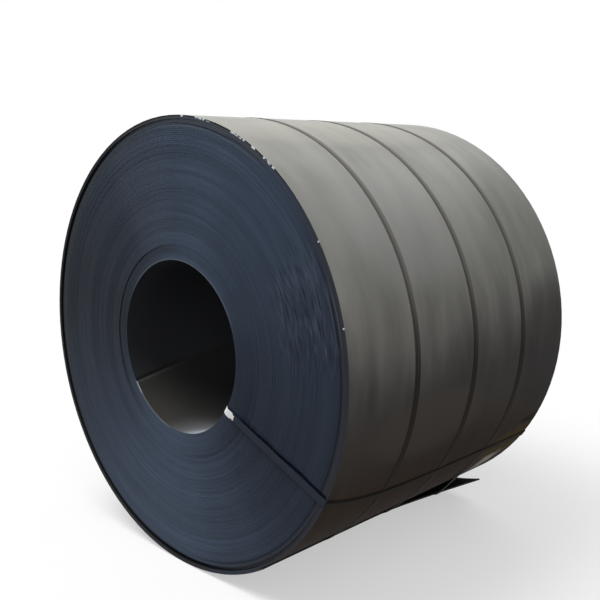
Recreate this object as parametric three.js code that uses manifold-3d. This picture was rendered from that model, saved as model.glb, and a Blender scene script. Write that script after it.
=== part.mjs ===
// Coil of hot-rolled steel strip, lying on its side, held by three body straps and one eye strap.
//
// The coil's axis is parallel to Y, its front end faces -Y, and it stands on Z = 0.
// Angles are in degrees, counter-clockwise from +X as seen from the front, so 270 is the floor
// contact. The strip is wound counter-clockwise from its head, in the bore, out to its tail.

import * as THREE from 'three';
import { mergeVertices } from 'three/addons/utils/BufferGeometryUtils.js';
import Module from 'manifold-3d';

// ---------------------------------------------------------------- driving dimensions, mm

const OUTER_RADIUS = 984;          // outside of the last turn, at the tail
const BORE_RADIUS = 373;           // inside of the first turn, at the head
const COIL_WIDTH = 1540;
const STRIP_THICKNESS = 8;
const FACET_ANGLE = 5;             // facets of the round outlines, one of them flat on the floor

const TAIL_ANGLE = 302.5;          // cut end of the strip on the outside
const TAIL_ROOT_ANGLE = 282.5;     // from here to the cut end the last turn is a sheet of its own
const TAIL_LIFT = 58;              // how far the sprung back corner stands off the turn below
const TAIL_LIFT_REACH = 794;       // length of the sprung part, measured from the back end
const TAIL_LIFT_ANGLE = 14;        // angle of the sprung part, measured from the cut end
const TAIL_LIFT_CURVE = 1.25;      // 1 is a corner folded flat, more is a rounder bend
const TAIL_STATIONS = 8;           // steps along the sprung part

const HEAD_ANGLE = 213.5;          // cut end of the strip in the bore, at both ends of the coil
const HEAD_TONGUE_ANGLE = 13.5;    // how much further the tongue reaches half-way along the bore
const HEAD_ROOT_ANGLE = 237.5;     // from the cut end to here the first turn is a sheet of its own
const HEAD_STATIONS = 12;          // steps along the tongue's edge

const INNER_BAND = 57;             // proud turns round the bore, on each end of the coil
const OUTER_BAND = 23;             // proud turns at the rim
const OUTER_GROOVE = 14;           // width of the open lap inside the outer band
const OUTER_GROOVE_DEPTH = 22;
const FACE_RECESS = 10;            // mean depth of the other turns below the proud bands
const FACE_STAGGER = [0, 2.5, -1, 1.5, -2.5, 1, 3, -1.5, 0.5];   // steps between bundles of turns

const STRAP_WIDTH = 32;
const STRAP_THICKNESS = 1;
const BODY_STRAP_SHIFTS = [15, 30, 27];   // how far back each one lies from an even spacing
const BODY_SEAL_ANGLE = 130;
const CLEARANCE = 0.3;             // between pieces that touch

const RIM_BEND = 6;                // inside radius of the eye strap's bends at the rims
const LIP_BEND = 25;               // and at the lips of the bore
const EYE_FRONT_LIP_ANGLE = 327;   // where the eye strap crosses each edge of the coil
const EYE_FRONT_RIM_ANGLE = 332.5;
const EYE_BACK_RIM_ANGLE = 325;
const EYE_BACK_LIP_ANGLE = 329;
const EYE_OUTER_SWEEP = 5;         // 1 is a straight run along the outside, more sweeps it back sooner
const EYE_RUN_STEPS = 8;
const EYE_BEND_STEPS = 8;

const SEAL_LENGTH = 57;
const SEAL_THICKNESS = 1.2;
const SEAL_FLANGE = 2.6;           // depth of the folded edges beside the strap

const FULL_TURN = 360;
const HALF_WIDTH = COIL_WIDTH / 2;
const FUSE = 2;                    // depth that fused pieces of one strip share
const LAP_PROUD = 0.2;             // step where a loose end's surface leaves the turn it grows from

// ---------------------------------------------------------------- finishes

const scaledSteel = new THREE.MeshStandardMaterial({
  color: 0x4b4d50, roughness: 0.45, metalness: 0.6,
});
const strapSteel = new THREE.MeshStandardMaterial({
  color: 0x2f2d2b, roughness: 0.4, metalness: 0.7,
});
const sealSteel = new THREE.MeshStandardMaterial({
  color: 0x56575a, roughness: 0.35, metalness: 0.8,
});

// ---------------------------------------------------------------- winding

const radians = THREE.MathUtils.degToRad;

// Degrees wound on since the angle `start`, from 0 up to a full turn.
function turnedSince(start, angle) {
  return THREE.MathUtils.euclideanModulo(angle - start, FULL_TURN);
}

// Outside of the turn that lies under the tail's sheet, and of the last turn everywhere else.
function outsideRadius(angle) {
  const wound = turnedSince(TAIL_ROOT_ANGLE, angle) || FULL_TURN;
  const rootRadius = OUTER_RADIUS - STRIP_THICKNESS * (TAIL_ANGLE - TAIL_ROOT_ANGLE) / FULL_TURN;
  return rootRadius - STRIP_THICKNESS * (1 - wound / FULL_TURN);
}

// Inside of the turn behind the head's sheet, and of the first turn everywhere else.
function boreRadius(angle) {
  const wound = turnedSince(HEAD_ROOT_ANGLE, angle);
  const rootRadius = BORE_RADIUS + STRIP_THICKNESS * (HEAD_ROOT_ANGLE - HEAD_ANGLE) / FULL_TURN;
  return rootRadius + STRIP_THICKNESS * wound / FULL_TURN;
}

// How far the tail's sheet has sprung off at an angle and a place along the width.
function tailLift(angle, y) {
  const along = 1 - (HALF_WIDTH - y) / TAIL_LIFT_REACH;
  const around = 1 - (TAIL_ANGLE - angle) / TAIL_LIFT_ANGLE;
  return TAIL_LIFT * Math.max(0, along + around - 1) ** TAIL_LIFT_CURVE;
}

// Outside of everything wound on the coil, with the tail's sheet.
function woundRadius(angle, y) {
  const turned = turnedSince(TAIL_ROOT_ANGLE, angle);
  if (turned > TAIL_ANGLE - TAIL_ROOT_ANGLE) {
    return outsideRadius(angle);
  }
  return OUTER_RADIUS - STRIP_THICKNESS * (TAIL_ANGLE - TAIL_ROOT_ANGLE - turned) / FULL_TURN
    + tailLift(TAIL_ROOT_ANGLE + turned, y) + LAP_PROUD;
}

// Even steps from start to end, both included, none of them over `largest`.
function angleSteps(start, end, largest) {
  const steps = Math.max(1, Math.ceil((end - start) / largest - 1e-6));
  return Array.from({ length: steps + 1 }, (_, i) => start + (end - start) * i / steps);
}

function facetAngles(start, end) {
  return angleSteps(start, end, FACET_ANGLE);
}

function tailAngles() {
  return angleSteps(TAIL_ROOT_ANGLE, TAIL_ANGLE, FACET_ANGLE / 2);
}

function polar(radius, angle) {
  return new THREE.Vector2(radius * Math.cos(radians(angle)), radius * Math.sin(radians(angle)));
}

// ---------------------------------------------------------------- solids

const wasm = await Module();
wasm.setup();

function toSolid(geometry) {
  const bare = geometry.clone();
  bare.deleteAttribute('normal');
  bare.deleteAttribute('uv');
  const merged = mergeVertices(bare, 1e-4);
  return new wasm.Manifold(new wasm.Mesh({
    numProp: 3,
    vertProperties: new Float32Array(merged.attributes.position.array),
    triVerts: new Uint32Array(merged.index.array),
  }));
}

function toGeometry(solid) {
  const { vertProperties, triVerts } = solid.getMesh();
  const geometry = new THREE.BufferGeometry();
  geometry.setAttribute('position', new THREE.BufferAttribute(vertProperties, 3));
  geometry.setIndex(new THREE.BufferAttribute(triVerts, 1));
  geometry.computeVertexNormals();
  return geometry;
}

// Closed geometry from rings of corner points: each ring is joined to the next one. The rings
// run clockwise, seen along the way from the last ring to the first.
function skin(rings, closed) {
  const count = rings[0].length;
  const index = [];
  const joins = closed ? rings.length : rings.length - 1;
  for (let i = 0; i < joins; i += 1) {
    const here = i * count;
    const next = ((i + 1) % rings.length) * count;
    for (let j = 0; j < count; j += 1) {
      const k = (j + 1) % count;
      index.push(here + j, here + k, next + k, here + j, next + k, next + j);
    }
  }
  if (!closed) {
    const last = (rings.length - 1) * count;
    const cap = THREE.ShapeUtils.triangulateShape(flatten(rings[0]), []);
    cap.forEach(([a, b, c]) => index.push(a, b, c, last + a, last + c, last + b));
  }
  const geometry = new THREE.BufferGeometry().setFromPoints(rings.flat());
  geometry.setIndex(index);
  geometry.computeVertexNormals();
  return geometry;
}

// A ring's points in the plane of X and Z.
function flatten(ring) {
  return ring.map((point) => new THREE.Vector2(point.x, point.z));
}

// An outline in the plane of X and Z, extruded along Y from y0 to y1.
function extrudeAlongY(shape, y0, y1) {
  const geometry = new THREE.ExtrudeGeometry(shape, { depth: y1 - y0, bevelEnabled: false });
  geometry.rotateX(Math.PI / 2);
  geometry.translate(0, y1, 0);
  return geometry;
}

// ---------------------------------------------------------------- coil

// All the turns but the two loose ends, with plain ends.
function turnsGeometry() {
  const outsideAngles = facetAngles(TAIL_ROOT_ANGLE, TAIL_ROOT_ANGLE + FULL_TURN);
  const outside = outsideAngles.map((angle) => polar(outsideRadius(angle), angle));
  outside[0] = polar(outsideRadius(TAIL_ROOT_ANGLE) - STRIP_THICKNESS, TAIL_ROOT_ANGLE);
  const boreAngles = facetAngles(HEAD_ROOT_ANGLE, HEAD_ROOT_ANGLE + FULL_TURN);
  const bore = boreAngles.map((angle) => polar(boreRadius(angle), angle));
  bore[bore.length - 1] = polar(boreRadius(HEAD_ROOT_ANGLE) + STRIP_THICKNESS, HEAD_ROOT_ANGLE);
  const shape = new THREE.Shape(outside);
  shape.holes.push(new THREE.Path(bore));
  return extrudeAlongY(shape, -HALF_WIDTH, HALF_WIDTH);
}

// A loose end of the strip: rings across its thickness, one at each place along the width.
function sheetGeometry(stations, anglesAt, insideAt, outsideAt) {
  const rings = stations.map((y) => {
    const angles = anglesAt(y);
    const inside = angles.map((angle) => [insideAt(angle, y), angle]);
    const outside = angles.map((angle) => [outsideAt(angle, y), angle]).reverse();
    return [...inside, ...outside].map(([radius, angle]) => {
      const point = polar(radius, angle);
      return new THREE.Vector3(point.x, y, point.y);
    });
  });
  return skin(rings, false);
}

// Places along the width for the tail's rings, with the edges of the straps that cross it.
function tailStations() {
  const liftStart = HALF_WIDTH - TAIL_LIFT_REACH;
  const strapEdges = bodyStrapPlaces().flatMap((y) => [y - STRAP_WIDTH / 2, y + STRAP_WIDTH / 2]);
  const steps = Array.from({ length: TAIL_STATIONS + 1 },
    (_, i) => THREE.MathUtils.lerp(liftStart, HALF_WIDTH, i / TAIL_STATIONS));
  const clear = steps.filter((y) => strapEdges.every((edge) => Math.abs(y - edge) > STRAP_WIDTH / 4));
  return [-HALF_WIDTH, ...strapEdges, ...clear].sort((a, b) => a - b);
}

function tailGeometry() {
  const buried = TAIL_ROOT_ANGLE - FACET_ANGLE;
  const outside = (angle, y) => (
    angle > buried ? woundRadius(angle, y) : outsideRadius(angle) - FUSE);
  const inside = (angle, y) => {
    const bedding = tailLift(angle, y) > FUSE ? 0 : FUSE;
    return outside(angle, y) - STRIP_THICKNESS - bedding;
  };
  return sheetGeometry(tailStations(), () => [buried, ...tailAngles()], inside, outside);
}

function headGeometry() {
  const stations = Array.from({ length: HEAD_STATIONS + 1 },
    (_, i) => THREE.MathUtils.lerp(-HALF_WIDTH, HALF_WIDTH, i / HEAD_STATIONS));
  const steps = Math.round((HEAD_ROOT_ANGLE - HEAD_ANGLE + HEAD_TONGUE_ANGLE) / FACET_ANGLE);
  const buried = HEAD_ROOT_ANGLE + FACET_ANGLE;
  const anglesAt = (y) => {
    const tongue = HEAD_TONGUE_ANGLE * Math.cos(Math.PI * y / COIL_WIDTH);
    const sheet = Array.from({ length: steps + 1 },
      (_, i) => THREE.MathUtils.lerp(HEAD_ANGLE - tongue, HEAD_ROOT_ANGLE, i / steps));
    return [...sheet, buried];
  };
  const inside = (angle) => (
    BORE_RADIUS + STRIP_THICKNESS * (angle - HEAD_ANGLE) / FULL_TURN
    + (angle < buried ? -LAP_PROUD : FUSE));
  const outside = (angle) => inside(angle) + STRIP_THICKNESS + FUSE;
  return sheetGeometry(stations, anglesAt, inside, outside);
}

// Depth below the proud bands, as corner points from the inner band out to the outer one.
function reliefSteps() {
  const inner = BORE_RADIUS + INNER_BAND;
  const grooveOuter = OUTER_RADIUS - OUTER_BAND;
  const grooveInner = grooveOuter - OUTER_GROOVE;
  const bundle = (grooveInner - inner) / FACE_STAGGER.length;
  const steps = FACE_STAGGER.map((stagger, i) => ({
    from: inner + i * bundle, to: inner + (i + 1) * bundle, depth: FACE_RECESS + stagger,
  }));
  return [...steps, { from: grooveInner, to: grooveOuter, depth: OUTER_GROOVE_DEPTH }];
}

// What is taken off the end at -Y, so that the bundles of turns stand at their own depths.
function reliefGeometry() {
  const open = -HALF_WIDTH - STRIP_THICKNESS;
  const profile = reliefSteps().flatMap(({ from, to, depth }) => [
    new THREE.Vector2(from, depth - HALF_WIDTH),
    new THREE.Vector2(to, depth - HALF_WIDTH),
  ]);
  const first = profile[0];
  const last = profile[profile.length - 1];
  const loop = [new THREE.Vector2(first.x, open), new THREE.Vector2(last.x, open),
    ...profile.reverse(), new THREE.Vector2(first.x, open)];
  return new THREE.LatheGeometry(loop, FULL_TURN / FACET_ANGLE, radians(FACET_ANGLE / 2));
}

function coilGeometry() {
  const wound = toSolid(turnsGeometry()).add(toSolid(tailGeometry())).add(toSolid(headGeometry()));
  const frontRelief = toSolid(reliefGeometry());
  const backRelief = frontRelief.mirror([0, 1, 0]);
  return toGeometry(wound.subtract(frontRelief).subtract(backRelief));
}

// ---------------------------------------------------------------- body straps

// The taut outline round points in a plane: their convex hull, counter-clockwise.
function tautOutline(points) {
  const sorted = [...points].sort((a, b) => a.x - b.x || a.y - b.y);
  const half = (list) => {
    const chain = [];
    list.forEach((point) => {
      while (chain.length > 1 && turnsRight(chain[chain.length - 2], chain[chain.length - 1], point)) {
        chain.pop();
      }
      chain.push(point);
    });
    return chain.slice(0, -1);
  };
  return [...half(sorted), ...half(sorted.reverse())];
}

function turnsRight(a, b, c) {
  return (b.x - a.x) * (c.y - a.y) - (b.y - a.y) * (c.x - a.x) <= 0;
}

function grown(outline, distance) {
  return outline.map((point) => point.clone().setLength(point.length() + distance));
}

// The coil's outline under a strap whose edges lie at y0 and y1.
function outlineUnderStrap(y0, y1) {
  const tail = tailAngles();
  const rest = facetAngles(TAIL_ANGLE, TAIL_ROOT_ANGLE + FULL_TURN).slice(1);
  const points = [...tail, ...rest].map((angle) => {
    const radius = Math.max(woundRadius(angle, y0), woundRadius(angle, y1));
    return polar(radius, angle);
  });
  return tautOutline(points);
}

function bodyStrapPlaces() {
  const pitch = COIL_WIDTH / (BODY_STRAP_SHIFTS.length + 1);
  return BODY_STRAP_SHIFTS.map((shift, i) => (i + 1) * pitch - HALF_WIDTH + shift);
}

function bodyStrapGeometry(outline, y) {
  const shape = new THREE.Shape(grown(outline, CLEARANCE + STRAP_THICKNESS));
  shape.holes.push(new THREE.Path(grown(outline, CLEARANCE)));
  return extrudeAlongY(shape, y - STRAP_WIDTH / 2, y + STRAP_WIDTH / 2);
}

// ---------------------------------------------------------------- eye strap

// How far the runs on both sides of a bend stand off the coil, so that the bend just clears its
// edge. The flat strap also bridges the bore's curve, and the body straps pass under it.
function standoff(bend) {
  const bridged = (STRAP_WIDTH / 2) ** 2 / (2 * BORE_RADIUS);
  const faceted = bend * (1 - Math.cos(Math.PI / 4 / EYE_BEND_STEPS));
  const corner = 2 * CLEARANCE + bridged + faceted;
  return Math.max(bend - (bend - corner) * Math.SQRT1_2, STRAP_THICKNESS + 3 * CLEARANCE);
}

// The bends of the eye strap's inside face, in the plane of radius and Y, front rim first.
function eyeStrapBends() {
  const outside = (angle) => outsideRadius(angle) + standoff(RIM_BEND);
  const inside = (angle) => boreRadius(angle) - standoff(LIP_BEND);
  const rimY = HALF_WIDTH + standoff(RIM_BEND);
  const lipY = HALF_WIDTH + standoff(LIP_BEND);
  return [
    { radius: outside(EYE_FRONT_RIM_ANGLE), y: -rimY, angle: EYE_FRONT_RIM_ANGLE, bend: RIM_BEND },
    { radius: outside(EYE_BACK_RIM_ANGLE), y: rimY, angle: EYE_BACK_RIM_ANGLE, bend: RIM_BEND },
    { radius: inside(EYE_BACK_LIP_ANGLE), y: lipY, angle: EYE_BACK_LIP_ANGLE, bend: LIP_BEND },
    { radius: inside(EYE_FRONT_LIP_ANGLE), y: -lipY, angle: EYE_FRONT_LIP_ANGLE, bend: LIP_BEND },
  ];
}

// Points along one bend: an arc that touches the runs on both sides of the corner.
function bendPoints(before, corner, after) {
  const at = (place) => new THREE.Vector2(place.radius, place.y);
  const arriving = at(corner).sub(at(before)).normalize();
  const leaving = at(after).sub(at(corner)).normalize();
  const turn = Math.atan2(arriving.cross(leaving), arriving.dot(leaving));
  const back = corner.bend * Math.tan(turn / 2);
  const start = at(corner).addScaledVector(arriving, -back);
  const normal = new THREE.Vector2(arriving.y, -arriving.x);
  const centre = start.clone().addScaledVector(normal, -corner.bend);
  return Array.from({ length: EYE_BEND_STEPS + 1 }, (_, i) => {
    const outward = normal.clone().rotateAround(new THREE.Vector2(), turn * i / EYE_BEND_STEPS);
    const point = centre.clone().addScaledVector(outward, corner.bend);
    return { radius: point.x, y: point.y, angle: corner.angle, outward };
  });
}

// How far along its turn a run is at a share of its length. The outer run starts askew of the
// coil's axis, where it comes over the front rim, and sweeps back to its angle at the back rim.
function turnShare(run, share) {
  const isOuter = run === 0;
  return isOuter ? 1 - (1 - share) ** EYE_OUTER_SWEEP : share;
}

// The angle at a share of the straight line between two places, seen from the front.
function angleOnLine(from, to, share) {
  const point = polar(from.radius, from.angle).lerp(polar(to.radius, to.angle), share);
  return turnedSince(0, THREE.MathUtils.radToDeg(point.angle()));
}

// Stations all the way round the loop, each with the strap's outward normal.
function eyeStrapStations() {
  const bends = eyeStrapBends();
  const count = bends.length;
  const arcs = bends.map((corner, i) => bendPoints(
    bends[(i + count - 1) % count], corner, bends[(i + 1) % count]));
  return arcs.flatMap((arc, i) => {
    const from = arc[arc.length - 1];
    const to = arcs[(i + 1) % count][0];
    const run = Array.from({ length: EYE_RUN_STEPS - 1 }, (_, j) => {
      const share = (j + 1) / EYE_RUN_STEPS;
      return {
        radius: THREE.MathUtils.lerp(from.radius, to.radius, share),
        y: THREE.MathUtils.lerp(from.y, to.y, share),
        angle: angleOnLine(from, to, turnShare(i, share)),
        outward: from.outward,
      };
    });
    return [...arc, ...run];
  });
}

// Position, outward normal, direction and sideways direction of each station in space.
function eyeStrapFrames() {
  const stations = eyeStrapStations().map(({ radius, y, angle, outward }) => {
    const across = polar(1, angle);
    return {
      position: new THREE.Vector3(across.x * radius, y, across.y * radius),
      normal: new THREE.Vector3(across.x * outward.x, outward.y, across.y * outward.x),
    };
  });
  return stations.map(({ position, normal }, i) => {
    const next = stations[(i + 1) % stations.length].position;
    const last = stations[(i + stations.length - 1) % stations.length].position;
    const along = next.clone().sub(last).normalize();
    const side = along.clone().cross(normal).normalize();
    return { position, normal: side.clone().cross(along), along, side };
  });
}

function eyeStrapGeometry(frames) {
  const half = STRAP_WIDTH / 2;
  const section = [[-half, 0], [-half, STRAP_THICKNESS], [half, STRAP_THICKNESS], [half, 0]];
  const rings = frames.map(({ position, normal, side }) => section.map(([across, up]) => (
    position.clone().addScaledVector(side, across).addScaledVector(normal, up))));
  return skin(rings, true);
}

// ---------------------------------------------------------------- seals

// A crimped seal: a plate over the strap with both its edges folded down beside it.
// It is modelled along X, with the strap's inside face on Z = 0.
function sealGeometry() {
  const inner = STRAP_WIDTH / 2 + CLEARANCE;
  const outer = inner + SEAL_THICKNESS;
  const under = STRAP_THICKNESS + CLEARANCE;
  const top = under + SEAL_THICKNESS;
  const foot = top - SEAL_FLANGE;
  const shape = new THREE.Shape([
    [-outer, foot], [-inner, foot], [-inner, under], [inner, under],
    [inner, foot], [outer, foot], [outer, top], [-outer, top],
  ].map(([x, y]) => new THREE.Vector2(x, y)));
  const geometry = new THREE.ExtrudeGeometry(shape, { depth: SEAL_LENGTH, bevelEnabled: false });
  geometry.translate(0, 0, -SEAL_LENGTH / 2);
  geometry.rotateX(Math.PI / 2);
  geometry.rotateZ(Math.PI / 2);
  return geometry;
}

function placeOnStrap(mesh, position, along, normal) {
  const side = normal.clone().cross(along);
  mesh.setRotationFromMatrix(new THREE.Matrix4().makeBasis(along, side, normal));
  mesh.position.copy(position);
}

// The middle of the straight stretch of a body strap that lies at an angle.
function stretchAt(outline, angle) {
  const target = turnedSince(0, angle);
  const angleOf = (point) => turnedSince(0, THREE.MathUtils.radToDeg(point.angle()));
  const middles = outline.map((point, i) => {
    const next = outline[(i + 1) % outline.length];
    return { middle: point.clone().add(next).multiplyScalar(0.5), along: next.clone().sub(point) };
  });
  middles.sort((a, b) => Math.abs(angleOf(a.middle) - target) - Math.abs(angleOf(b.middle) - target));
  return middles[0];
}

function bodySealMesh(name, outline, y) {
  const { middle, along } = stretchAt(grown(outline, CLEARANCE), BODY_SEAL_ANGLE);
  const direction = new THREE.Vector3(along.x, 0, along.y).normalize();
  const normal = new THREE.Vector3(along.y, 0, -along.x).normalize();
  const mesh = namedMesh(name, sealGeometry(), sealSteel);
  placeOnStrap(mesh, new THREE.Vector3(middle.x, y, middle.y), direction, normal);
  return mesh;
}

function eyeSealMesh(frames) {
  const stationsPerSide = frames.length / 4;
  const backRun = stationsPerSide + EYE_BEND_STEPS + EYE_RUN_STEPS / 2;
  const { position, normal, along } = frames[backRun];
  const mesh = namedMesh('eye_strap_seal', sealGeometry(), sealSteel);
  placeOnStrap(mesh, position, along, normal);
  return mesh;
}

// ---------------------------------------------------------------- assembly

function namedMesh(name, geometry, material) {
  const mesh = new THREE.Mesh(geometry, material);
  mesh.name = name;
  return mesh;
}

const coil = new THREE.Group();
coil.add(namedMesh('coil', coilGeometry(), scaledSteel));
bodyStrapPlaces().forEach((y, i) => {
  const outline = outlineUnderStrap(y - STRAP_WIDTH / 2, y + STRAP_WIDTH / 2);
  coil.add(namedMesh(`body_strap_${i + 1}`, bodyStrapGeometry(outline, y), strapSteel));
  coil.add(bodySealMesh(`body_strap_seal_${i + 1}`, outline, y));
});
const eyeFrames = eyeStrapFrames();
coil.add(namedMesh('eye_strap', eyeStrapGeometry(eyeFrames), strapSteel));
coil.add(eyeSealMesh(eyeFrames));

// Stand the body straps on the floor.
coil.updateMatrixWorld(true);
const extent = new THREE.Box3().setFromObject(coil, true);
coil.position.set(-(extent.min.x + extent.max.x) / 2, 0, -extent.min.z);

export default coil;
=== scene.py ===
"""Looks of a coil of hot-rolled steel strip, with its straps and their seals.

Lengths are in metres. The coil's axis is parallel to Y, its front end faces -Y and it lies on
Z = 0. Angles are in degrees, counter-clockwise from +X as seen from the front, so 270 is the
floor contact. The strip is wound counter-clockwise from its head, in the bore, to its tail.

Every band of steel here, the strip as well as the straps, starts as a straight flat bar and is
then laid along its path, as it is in the mill and on the strapping line.
"""

import logging
import math
from contextlib import contextmanager
from dataclasses import dataclass, field
from enum import Enum
from functools import cached_property, reduce
from typing import Callable, Iterator, NamedTuple

import bmesh
import bpy
import numpy as np
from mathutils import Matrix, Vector

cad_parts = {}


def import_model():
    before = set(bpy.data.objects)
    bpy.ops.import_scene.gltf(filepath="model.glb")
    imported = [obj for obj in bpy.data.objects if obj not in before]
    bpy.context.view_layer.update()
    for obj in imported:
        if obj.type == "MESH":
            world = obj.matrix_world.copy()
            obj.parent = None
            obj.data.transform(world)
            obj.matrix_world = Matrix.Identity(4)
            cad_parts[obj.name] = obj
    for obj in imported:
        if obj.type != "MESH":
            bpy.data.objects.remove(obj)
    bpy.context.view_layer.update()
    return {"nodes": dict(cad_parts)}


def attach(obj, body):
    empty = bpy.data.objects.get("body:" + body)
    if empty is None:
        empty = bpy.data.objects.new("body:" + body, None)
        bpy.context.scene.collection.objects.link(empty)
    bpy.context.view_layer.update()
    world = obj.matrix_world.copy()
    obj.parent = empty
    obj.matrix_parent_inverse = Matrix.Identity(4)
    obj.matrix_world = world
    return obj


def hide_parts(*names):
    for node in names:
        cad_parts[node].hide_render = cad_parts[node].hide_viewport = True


LOG = logging.getLogger("steel_coil")
FULL_TURN = 360.0
DULL_SPECULAR = 0.035
NOISE_MIDDLE = 0.5
NOISE_LIMITS = (0.3, 0.7)
# Least share of a flat side's normal that is square to the bar.
FLAT_NORMAL = 0.999
WELD_DISTANCE = 1e-6
# How far each body strap lies behind its even share of the width.
BODY_STRAP_SHIFTS = (0.015, 0.030, 0.027)
Colour = tuple[float, float, float]
Limits = tuple[float, float]
Value = object  # a signal, a number, a vector or a colour
Material = bpy.types.Material
Piece = bpy.types.Object


class Slot(Enum):
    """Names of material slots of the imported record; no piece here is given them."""

    STRIP = "scaled_steel"
    STRAP = "strap_steel"


class End(Enum):
    """The two ends of the coil, as the sign of their Y."""

    FRONT = -1
    BACK = 1


class Part(Enum):
    """The parts of a mesh that are selected in edit mode."""

    EDGES = "edges"
    FACES = "faces"


# ------------------------------------------------------------------------------ winding law


def toward(angle: float) -> Vector:
    """Direction square to the coil's axis, at an angle round it."""
    turn = math.radians(angle)
    return Vector((math.cos(turn), 0, math.sin(turn)))


@dataclass(frozen=True)
class Winding:
    """How the strip is wound: its path and the shapes of its two loose ends."""

    axis_x: float = 0.0020
    axis_z: float = 0.9837
    width: float = 1.540
    bore_radius: float = 0.373
    outer_radius: float = 0.9831
    gauge: float = 0.0078
    head_angle: float = 213.5
    tail_angle: float = 302.5
    full_turns: int = 75
    head_tongue: float = 13.5
    tail_lift: float = 0.058
    tail_lift_reach: float = 0.794
    tail_lift_angle: float = 14.0
    tail_lift_curve: float = 1.25

    @property
    def axis(self) -> Vector:
        """A place on the coil's axis."""
        return Vector((self.axis_x, 0, self.axis_z))

    @property
    def wound(self) -> float:
        """Degrees wound from the head's edge at the coil's ends to the tail's edge."""
        return self.full_turns * FULL_TURN + self.tail_angle - self.head_angle

    @property
    def total(self) -> float:
        """Length of the whole strip."""
        return self.length(self.wound)

    @property
    def pitch(self) -> float:
        """Growth of the radius in one turn."""
        return (self.outer_radius - self.gauge - self.bore_radius) * FULL_TURN / self.wound

    def radius(self, wound: np.ndarray | float) -> np.ndarray | float:
        """Inside radius of the strip after some degrees of winding."""
        return self.bore_radius + self.pitch * wound / FULL_TURN

    def length(self, wound: float) -> float:
        """Length of the strip up to some degrees of winding."""
        return math.radians(wound) * (self.bore_radius + self.radius(wound)) / 2

    def last(self, angle: float) -> float:
        """Degrees wound where the strip passes an angle for the last time."""
        return self.wound - (self.tail_angle - angle) % FULL_TURN

    def lift(self, wound: np.ndarray | float, y: np.ndarray | float) -> np.ndarray | float:
        """How far the sprung corner of the tail stands off the turn below it.

        Args:
            wound: Degrees wound at each place.
            y: The place along the width.

        Returns:
            One height for each place.
        """
        along = 1 - (self.width / 2 - y) / self.tail_lift_reach
        around = 1 - (self.wound - wound) / self.tail_lift_angle
        return self.tail_lift * np.maximum(0, along + around - 1) ** self.tail_lift_curve

    def outside(self, angle: float, y: float) -> float:
        """Outside radius of the wound coil at an angle and a place along its width."""
        wound = self.last(angle)
        return float(self.radius(wound) + self.gauge + self.lift(wound, y))

    def inside(self, angle: float) -> float:
        """Radius of the bore at an angle."""
        return float(self.radius((angle - self.head_angle) % FULL_TURN))

    def place(self, radius: float, angle: float, y: float) -> Vector:
        """A place at a radius and an angle round the coil's axis.

        Args:
            radius: Distance from the axis.
            angle: Angle round it.
            y: The place along the width.

        Returns:
            The place.
        """
        turn = math.radians(angle)
        return Vector((self.axis_x + radius * math.cos(turn), y,
                       self.axis_z + radius * math.sin(turn)))


@dataclass(frozen=True)
class EdgeRelief:
    """Depth of the turns' edges below the proud turns, on both ends of the coil."""

    inner_band: float = 0.057
    outer_band: float = 0.023
    groove: float = 0.014
    groove_depth: float = 0.010
    groove_swing: float = 0.0125
    groove_angle: float = 215.0
    recess: float = 0.006
    recess_reach: float = 0.075
    # Depths of the bundles of turns below the recess, evenly spaced from the bore outward.
    bundles: tuple[float, ...] = (
        0, 0.002, -0.001, 0.0015, -0.002, 0.001, 0.0025, -0.0015, -0.002,
    )
    lap_radius: float = 0.431
    lap_reach: float = 0.012
    lap_depth: float = 0.0035
    lap_angle: float = 160.0
    lap_spread: float = 80.0
    ragged: float = 0.0006
    knots_per_turn: float = 2.4
    seed: int = 11

    def depth(self, winding: Winding, wound: np.ndarray, end: End) -> np.ndarray:
        """Depth of the strip's edge below the coil's end plane.

        Args:
            winding: The law of the wound strip.
            wound: Degrees wound at each place along the strip.
            end: Which end of the coil.

        Returns:
            One depth for each place.
        """
        radius = winding.radius(wound)
        inner = winding.bore_radius + self.inner_band
        groove_outer = winding.outer_radius - self.outer_band
        groove_inner = groove_outer - self.groove
        knots = np.linspace(inner, groove_inner, len(self.bundles))
        bundle = np.interp(radius, knots, self.bundles)
        depth = (self.recess + bundle) * np.clip((radius - inner) / self.recess_reach, 0, 1)
        turned = np.radians(winding.head_angle + wound - self.groove_angle)
        groove = np.maximum(0, self.groove_depth + self.groove_swing * np.cos(turned))
        depth = np.where(radius > groove_inner, groove, depth)
        depth = np.where(radius > groove_outer, 0.0, depth)
        if end is End.FRONT:
            depth = depth + self.lap(winding, wound)
        return depth + self.raggedness(winding, wound, end)

    def lap(self, winding: Winding, wound: np.ndarray) -> np.ndarray:
        """Depth of the few turns that were drawn in beside the innermost ones, on one side.

        Args:
            winding: The law of the wound strip.
            wound: Degrees wound at each place along the strip.

        Returns:
            One depth for each place.
        """
        turned = winding.head_angle + wound - self.lap_angle
        away = np.abs((turned + FULL_TURN / 2) % FULL_TURN - FULL_TURN / 2)
        around = np.clip((self.lap_spread - away) / (self.lap_spread / 2), 0, 1)
        off = np.abs(winding.radius(wound) - self.lap_radius)
        return self.lap_depth * around * np.clip(2 - 2 * off / self.lap_reach, 0, 1)

    def raggedness(self, winding: Winding, wound: np.ndarray, end: End) -> np.ndarray:
        """Small scatter of the edge along the strip, never proud of the end plane.

        Args:
            winding: The law of the wound strip.
            wound: Degrees wound at each place along the strip.
            end: Which end of the coil.

        Returns:
            One depth for each place.
        """
        count = int(winding.wound / FULL_TURN * self.knots_per_turn) + 3
        scatter = np.random.default_rng(self.seed + end.value).random(count)
        place = wound / FULL_TURN * self.knots_per_turn + 1
        return self.ragged * np.interp(place, np.arange(count), scatter)


# ------------------------------------------------------------------------------ node graphs


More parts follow.
